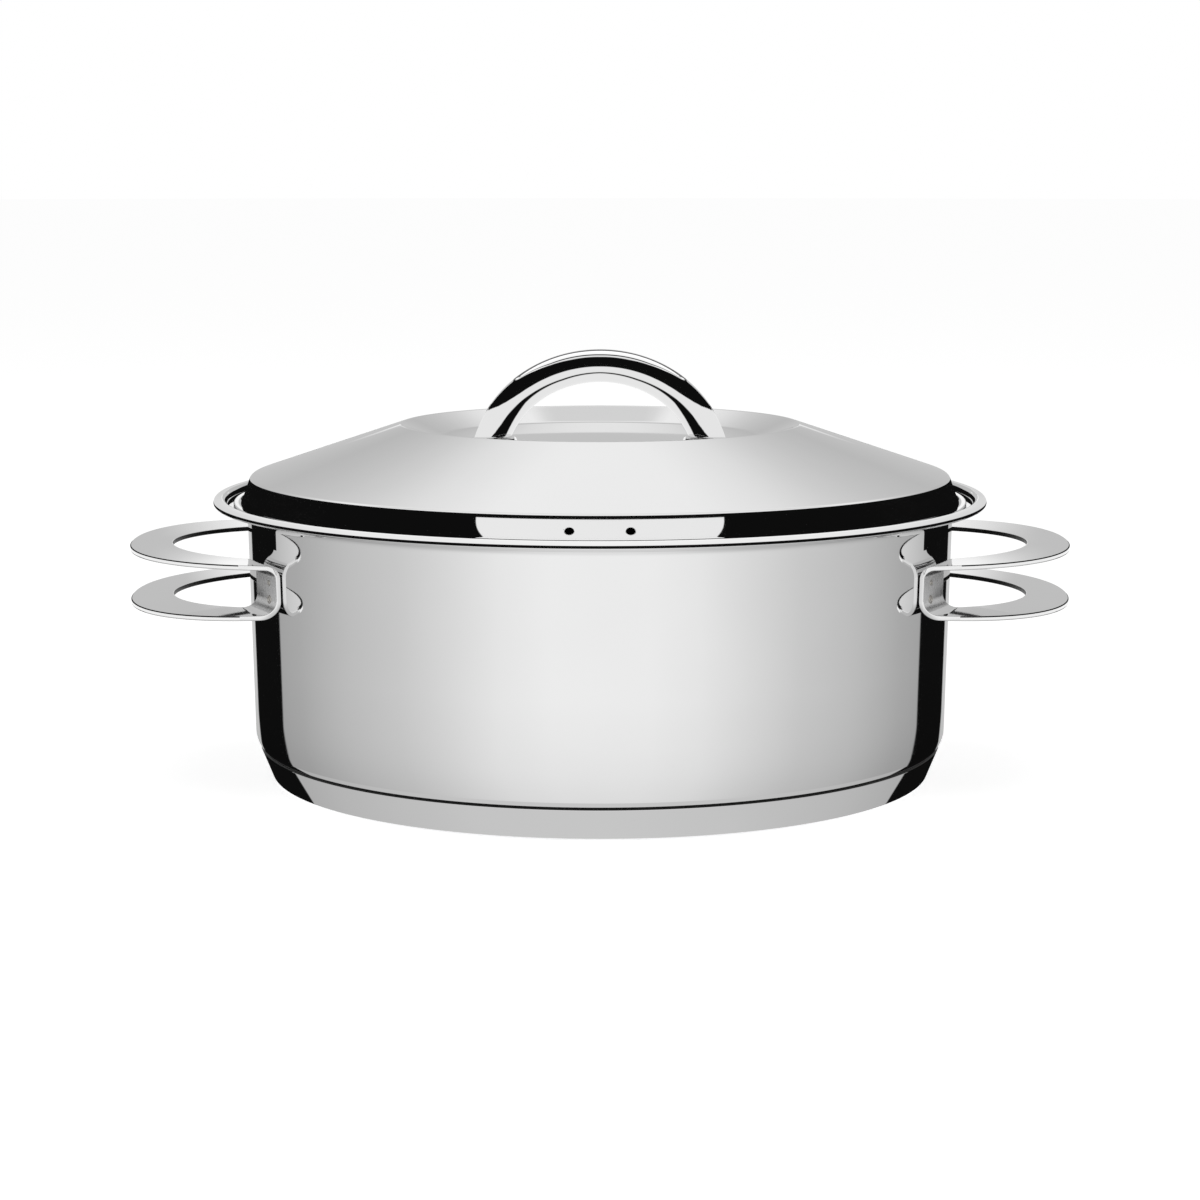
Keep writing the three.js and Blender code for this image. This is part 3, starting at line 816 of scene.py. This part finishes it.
def greyBack():
    # a grey backdrop that starts on the floor behind the pot, stands up, brightens upwards and fades out at
    # its sides, with a stripe that the dish's rear wall mirrors and two soft spots at each side for the bows
    s = backSet
    fine = s["fineRise"]
    rise = np.r_[np.arange(fine[0]), np.linspace(*fine, 56), np.linspace(fine[1] + 0.5, s["top"], 52)]
    lying = np.geomspace(s["floorFrom"], s["radius"], 30)[:-1]
    radius = np.r_[lying, s["radius"] + 0 * rise][:, None]
    height = np.r_[s["floorLift"] + 0 * lying, s["radius"] * np.tan(np.radians(rise))][:, None]
    rise = np.r_[-1 + 0 * lying, rise][:, None]
    fine = s["fineTurn"]
    end = s["halfTurn"] + s["fadeTurn"]
    away = np.r_[np.arange(fine[0]), np.linspace(*fine, 57), np.linspace(fine[1] + 1, end, 34)]
    turn = np.r_[-away[:0:-1], away]
    away = np.abs(turn)
    tone = np.interp(rise, s["rise"], s["tone"])
    for bow in ("upper", "lower"):
        share = (np.interp(rise, s[bow + "Rise"], (0, 1, 1, 0))
                 * np.interp(away, s[bow + "Turn"], (0, 1, 1, 0)))
        tone = tone + (s["spotTone"] - tone) * share
    fade = np.maximum(np.clip((away - s["halfTurn"]) / s["fadeTurn"], 0, 1),
                      np.clip(1 - (radius - s["floorFrom"]) / s["floorFade"], 0, 1))
    tone = tone + (cardSet["white"] - tone) * fade
    glowCard("greyBack", around(radius, height, np.radians(180 - turn)), tone)


floorPaintSet = dict(
    # painted reflection and shade: brightness by angle round the wall, from the front to the outline, and by
    # height, darker towards the floor
    wallTurn=(0.0, 7.5, 15.0, 23.0, 31.5, 41.5, 54.0, 60.5, 61.0, 75.2, 75.8, 83.0),
    wallTone=(1.04, 1.04, 0.98, 0.845, 0.715, 0.63, 0.48, 0.435, 0.005, 0.005, 0.62, 0.62),
    wallRise=(10.0, 14.0, 22.0, 30.0, 45.0), riseTone=(0.80, 0.86, 0.92, 0.96, 1.0),
    cornerTurn=3.0, cornerTop=26.0, cornerDrop=15.0, cornerPower=1.5,  # the painted black's edge comes in there
    wallLift=0.05, fade=90.0, rows=60,
    capTurn=(0.0, 20.0, 32.0, 45.0, 56.0), capTone=(0.70, 0.68, 0.63, 0.57, 0.50), capEnd=(55.2, 58.4),
    capFrom=0.4, capSoft=0.5, capLift=0.1,  # mm, degrees, mm
)


def floorPaintedReflections():
    # painted reflections on the floor that darken towards the sides and end in painted black, one for the
    # wall and its lower corner, darker towards the floor, and one for the cap, with a painted contact shadow
    s = floorPaintSet
    low, high = corners("pot_shell")
    lean = math.radians(potSet["wallLean"])
    corner = potSet["floorCorner"]
    straight = np.linspace(low[2] + corner, high[2], s["rows"])
    radius = wallRadius(straight)
    swing = np.radians(np.linspace(-44, -1, 44))
    radius = np.r_[radius[0] - corner + corner * np.cos(swing), radius][:, None]
    height = np.r_[straight[0] + corner * np.sin(swing), straight][:, None]
    slope = np.r_[swing, -lean + 0 * straight][:, None]
    # the columns are close together at the painted black's edges
    turn = np.r_[np.linspace(0, 52, 53), np.linspace(52.1, 62, 100), np.linspace(62.2, 82, 100)]
    turn = np.radians(turn)
    turn = np.r_[-turn[:0:-1], turn]
    inward = np.clip((s["cornerTop"] - height) / s["cornerDrop"], 0, 1) ** s["cornerPower"] * s["cornerTurn"]
    tone = np.interp(np.abs(np.degrees(turn)) + inward, s["wallTurn"], s["wallTone"])
    tone = tone * np.interp(height, s["wallRise"], s["riseTone"])
    paintedFloorCard("wallPaintedReflection", around(radius, height, turn), around(np.cos(slope), np.sin(slope), turn), tone,
              s["wallLift"], s["fade"])

    # the cap mirrors a painted contact shadow: dimmer than the floor at the front, darker to the sides, black
    # past capEnd
    low, high = corners("base_cap")
    lean = math.radians(capSet["lean"])
    height = np.linspace(s["capFrom"], high[2], s["rows"])[:, None]
    radius = high[0] - (high[2] - height) * math.tan(lean)
    end = s["capEnd"][0] + (s["capEnd"][1] - s["capEnd"][0]) * height / high[2]
    dark = np.clip((np.abs(np.degrees(turn)) - end) / s["capSoft"], 0, 1)
    tone = np.interp(np.abs(np.degrees(turn)), s["capTurn"], s["capTone"])
    paintedFloorCard("capPaintedShadow", around(radius, height, turn), around(np.cos(lean), -np.sin(lean), turn),
              tone * (1 - dark) + cardSet["black"] * dark, s["capLift"])


skirtCardSet = dict(
    near=3.0, reach=17.0, endTurn=87.0, creaseEnd=39.0,  # mm, then degrees
    rows=60, rowFrom=0.02, rowTo=0.88,  # shares of the skirt's height
    patchFrom=0.175, patchTo=0.86, patchTurn=(15.9, 18.5), patchSoft=0.1,  # shares, then degrees
)


def skirtPaintedReflection():
    # painted reflection: a black glowing ribbon, seen only by reflections, round the skirt and on over the
    # crease's round; its middle is a white card with rounded lower corners, a painted highlight
    s, lid = skirtCardSet, lidSet
    low, high = corners("lid_shell")
    lean = math.radians(lid["skirtLean"])
    share = np.linspace(s["rowFrom"], s["rowTo"], s["rows"])
    bend = lid["creaseRound"] + lid["sheet"] / 2
    swing = np.radians(np.linspace(lid["skirtLean"], s["creaseEnd"], 14))[1:]
    height = low[2] + lid["sheet"] / 2 * (1 + math.sin(lean)) + share * lid["skirtHeight"]
    radius = high[0] - lid["flange"] + lid["sheet"] / 2 * math.cos(lean)
    radius = radius - share * lid["skirtHeight"] * math.tan(lean)
    radius = np.r_[radius, radius[-1] + bend * (np.cos(swing) - math.cos(lean))][:, None]
    height = np.r_[height, height[-1] + bend * (np.sin(swing) - math.sin(lean))][:, None]
    slope = np.r_[lean + 0 * share, swing][:, None]
    share = np.r_[share, 1 + 0 * swing][:, None]
    # the columns are close together at the white card's ends
    turn = np.r_[np.linspace(0, 15, 16), np.linspace(15.05, 19, 80), np.linspace(19.5, s["endTurn"], 100)]
    turn = np.radians(np.r_[-turn[:0:-1], turn])
    rounded = 1 - np.clip(1 - share, 0, 1) ** 3
    first, last = s["patchTurn"]
    inside = first + (last - first) * rounded - np.abs(np.degrees(turn))
    patch = np.clip(inside / s["patchSoft"], 0, 1) * (share > s["patchFrom"]) * (share < s["patchTo"])
    reach = (s["near"] + s["reach"] * np.cos(turn) ** 2)[:, None]
    nearCard("skirtPaintedReflection", around(radius, height, turn), around(np.cos(slope), np.sin(slope), turn), reach,
             cardSet["black"] + (cardSet["white"] - cardSet["black"]) * patch, rear=True)


rimCardSet = dict(
    beadReach=1.5, beadTurn=86.0, beadFrom=-24, beadDark=15.0,  # mm, degrees round the rim, degrees of slope
    beadRound=(0.0, 35.0, 60.0, 86.0), beadTone=(1.1, 1.02, 0.86, 0.72),
    grooveReach=0.8, grooveTurn=(84, 122), grooveTop=0.7,
    wallDarkReach=5.0, wallDarkTurn=(61.0, 75.2), wallDarkFrom=84.0, wallDarkTop=1.5,
)


def rimPaintedReflections():
    # painted reflection: the bead mirrors a glowing white ribbon above, a painted highlight, and a black one
    # round its outside, both hung close before it
    s, pot = rimCardSet, potSet
    high = corners("pot_shell")[1]
    ledge = high[2] - pot["beadRise"]
    turn = np.radians(np.linspace(-s["beadTurn"], s["beadTurn"], 177))
    slope = np.r_[np.linspace(s["beadFrom"], 30, 55), np.linspace(32, 90, 30), 90.0]
    dark = np.interp(slope, (s["beadDark"], s["beadDark"] + 1), (1, 0))[:, None]
    tone = np.interp(np.abs(np.degrees(turn)), s["beadRound"], s["beadTone"])
    slope = np.radians(slope)[:, None]
    bead = np.where(slope > 0, pot["beadOuterRound"], pot["beadFootRound"]) + pot["sheet"] / 2
    middle = high[2] - pot["beadOuterRound"] - pot["sheet"] / 2
    radius = high[0] - bead + bead * np.cos(slope)
    radius[-1] = high[0] - pot["beadWidth"] + pot["beadInnerRound"] + pot["sheet"] / 2
    points = around(radius, middle + bead * np.sin(slope), turn)
    nearCard("beadPaintedReflection", points, around(np.cos(slope), np.sin(slope), turn), s["beadReach"],
             tone * (1 - dark) + cardSet["black"] * dark, rear=True)

    # painted shade: a black glowing thread, seen only by reflections, in the groove between flange and bead,
    # at both ends of the rim
    turn = np.radians(np.linspace(*s["grooveTurn"], 40))
    height = np.linspace(ledge, high[2] - s["grooveTop"], 8)[:, None]
    for side in (1, -1):
        nearCard("groovePaintedShade", around(high[0] - pot["beadWidth"], height, side * turn),
                 around(-1.0, 0.0, side * turn), s["grooveReach"], cardSet["black"])

    # painted dark reflection: a black glowing card, seen only by reflections, before the wall above each
    # handle, where it would mirror the bow
    turn = np.radians(np.linspace(*s["wallDarkTurn"], 30))
    height = np.linspace(s["wallDarkFrom"], ledge - s["wallDarkTop"], 12)[:, None]
    lean = math.radians(pot["wallLean"])
    for side in (1, -1):
        nearCard("wallPaintedDark", around(wallRadius(height), height, side * turn),
                 around(math.cos(lean), -math.sin(lean), side * turn), s["wallDarkReach"], cardSet["black"])


gripCardSet = dict(
    # tones of the grip's painted reflection, and where its dark bands lie
    reach=3.0, steps=300, faceTone=0.98, outlineTone=0.15, soft=0.012,
    # by distance from the middle of the arch in mm: where the dark band, the line on the arris, the outline
    # and the dark inner line begin and end, as shares of the bar's height as the camera sees it
    bandAt=(0, 10, 17, 22, 27.2, 31, 33, 35, 36.5, 38.2),
    bandFrom=(0.461, 0.468, 0.482, 0.498, 0.525, 0.565, 0.61, 0.69, 0.80, 1.03),
    bandTo=(0.768, 0.78, 0.816, 0.865, 0.93, 1.04, 1.04, 1.04, 1.04, 1.04),
    arrisAt=(0, 17, 27.2, 28), arrisFrom=(0.80, 0.83, 0.93, 1.04), arrisTo=(0.845, 0.868, 0.945, 1.04),
    outlineAt=(0, 27.2, 34), outlineFrom=(0.945, 0.955, 1.04),
    lineAt=(0, 17, 22, 27.2, 31, 34, 38.2, 41, 42.3, 42.9),
    lineFrom=(0.257, 0.232, 0.242, 0.25, 0.25, 0.242, 0.19, 0.165, 0.16, 0.16),
    lineTo=(0.304, 0.292, 0.308, 0.332, 0.36, 0.388, 0.42, 0.445, 0.50, 0.57),
    topAt=(0, 24, 34), topTone=(1.2, 1.2, 0.98), topFrom=0.83,
)


def gripPaintedReflection():
    # painted reflection: a glowing card close round the front and top of the grip, seen only by reflections,
    # with the dark bands, dark outline and bright top that the grip mirrors
    s = gripCardSet
    low, high = corners("lid_handle")
    outer, inner = gripCurves(s["steps"])
    across = outer - inner
    thickness = np.linalg.norm(across, axis=1)
    across = across / thickness[:, None]
    lower, upper = gripSet["faceTo"], gripSet["faceFrom"]
    slope = np.r_[
        np.linspace(-84, lower, 50), np.linspace(lower + 0.5, upper - 0.5, 60), np.linspace(upper, 90, 45)]
    slope = np.radians(slope)[:, None] + 0 * thickness
    out, up = gripFace(thickness, (high[1] - low[1]) / 2, slope)
    # on over the flat top to its rear edge
    flat = np.linspace(0, 1, 21)[1:, None]
    out = np.concatenate([out, out[-1:] * (1 - 2 * flat)])
    up = np.concatenate([up, up[-1:] + 0 * flat])
    slope = np.concatenate([slope, np.full((20, len(thickness)), math.pi / 2)])
    points = np.stack([inner[:, 0] + across[:, 0] * up, -out, inner[:, 1] + across[:, 1] * up], -1)
    normals = np.stack([across[:, 0] * np.sin(slope), -np.cos(slope), across[:, 1] * np.sin(slope)], -1)
    view = points.mean(0) - np.array(cameraSet["place"]) / mm
    view = view / np.linalg.norm(view, axis=-1, keepdims=True)
    upward = np.stack([across[:, 0], 0 * thickness, across[:, 1]], -1)
    upward = upward - (upward * view).sum(-1, keepdims=True) * view
    seen = (points * upward).sum(-1)
    seen = (seen - seen.min(0)) / (seen.max(0) - seen.min(0))
    away = np.abs(outer[:, 0])
    dark = 0 * seen
    for band in ("band", "arris", "line"):
        first, last = (np.interp(away, s[band + "At"], s[band + end]) for end in ("From", "To"))
        inside = np.clip((seen - first) / s["soft"], 0, 1) * np.clip((last - seen) / s["soft"], 0, 1)
        dark = np.maximum(dark, inside)
    outline = seen > np.interp(away, s["outlineAt"], s["outlineFrom"])
    top = np.interp(away, s["topAt"], s["topTone"])
    tone = np.where(outline, s["outlineTone"], np.where(seen > s["topFrom"], top, s["faceTone"]))
    nearCard("gripPaintedReflection", points, normals, s["reach"], tone * (1 - dark) + cardSet["black"] * dark)


bowCardSet = dict(reach=0.6, start=117.0, front=-4.0, edgeTone=1.05)  # mm, clear of the wall and of the tip


def bowPaintedLines():
    # painted reflections: for each side handle a black glowing thread along the front arris of both bows, a
    # painted dark line, and a white one before their edge, a painted highlight, seen only by reflections
    s = bowCardSet
    edge = handleSet["arrisSteps"] + 1
    for node in ("right_handle", "left_handle"):
        low, high = corners(node)
        grid = handleGrid(node)[0]
        along = np.roll(grid, -1, 0) - np.roll(grid, 1, 0)
        across = np.roll(grid, -1, 1) - np.roll(grid, 1, 1)
        normals = np.cross(across, along)
        normals = normals / np.linalg.norm(normals, axis=-1, keepdims=True)
        last = grid.shape[1] - 1
        front = (grid[..., 1].mean(1) < s["front"]) & (np.abs(grid[:, 0, 0]) > s["start"])
        upper = grid[..., 2].mean(1) > (low[2] + high[2]) / 2
        for name, rows, strips in (
                ("Upper", front & upper, np.arange(last + 1 - edge, last + 1)),
                ("Lower", front & ~upper, np.arange(edge))):
            nearCard(node + name + "Thread", grid[rows][:, strips], normals[rows][:, strips], s["reach"],
                     cardSet["black"])
            points = grid[rows][:, [last, 0]]
            outward = normals[rows][:, [last, 0]].mean(1, keepdims=True)
            nearCard(node + name + "Edge", points, np.broadcast_to(outward, points.shape), s["reach"],
                     s["edgeTone"])


greyBack()
floorPaintedReflections()
skirtPaintedReflection()
rimPaintedReflections()
gripPaintedReflection()
bowPaintedLines()
print("studio: cards for the reflections")


# Camera

def photoCamera():
    s = cameraSet
    camera = bpy.data.cameras.new("photoCamera")
    camera.lens = s["lens"]
    camera.sensor_width = s["sensor"]
    camera.sensor_fit = "HORIZONTAL"
    camera.dof.use_dof = False
    stand = bpy.data.objects.new("photoCamera", camera)
    stand.location = s["place"]
    stand.rotation_euler = (math.radians(90 - s["pitch"]), 0, 0)
    bpy.context.scene.collection.objects.link(stand)
    bpy.context.scene.camera = stand


photoCamera()
bpy.context.scene.view_settings.view_transform = "Standard"
